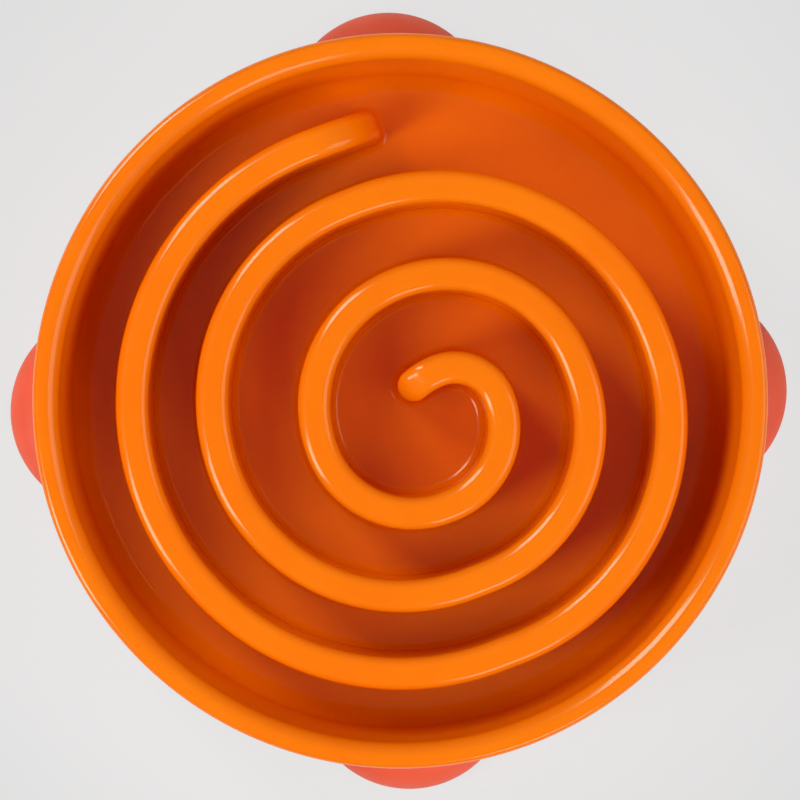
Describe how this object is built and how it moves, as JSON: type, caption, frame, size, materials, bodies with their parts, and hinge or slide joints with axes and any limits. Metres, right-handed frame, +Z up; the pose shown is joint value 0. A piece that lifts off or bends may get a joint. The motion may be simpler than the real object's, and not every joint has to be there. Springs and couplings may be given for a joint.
{
  "type": "slow feeder bowl",
  "caption": "Round pet bowl with a raised hollow spiral ridge that slows eating, a rolled rim and clip-on rubber feet.",
  "frame": {"origin": "on the ground plane, on the bowl's upright axis", "axes": "+Z up along the bowl's axis; +X, +Y, -X and -Y point to the right, back, left and front feet, as the picture shows them"},
  "size_m": [0.3, 0.3, 0.068],
  "materials": {
    "bowl_plastic": "glossy injection-moulded orange plastic with a faint moulded unevenness",
    "foot_rubber": "satin coral-red rubber"
  },
  "bodies": {
    "root": {"bowl": "bowl_plastic", "foot_right": "foot_rubber", "foot_back": "foot_rubber", "foot_left": "foot_rubber", "foot_front": "foot_rubber"}
  },
  "joints": []
}
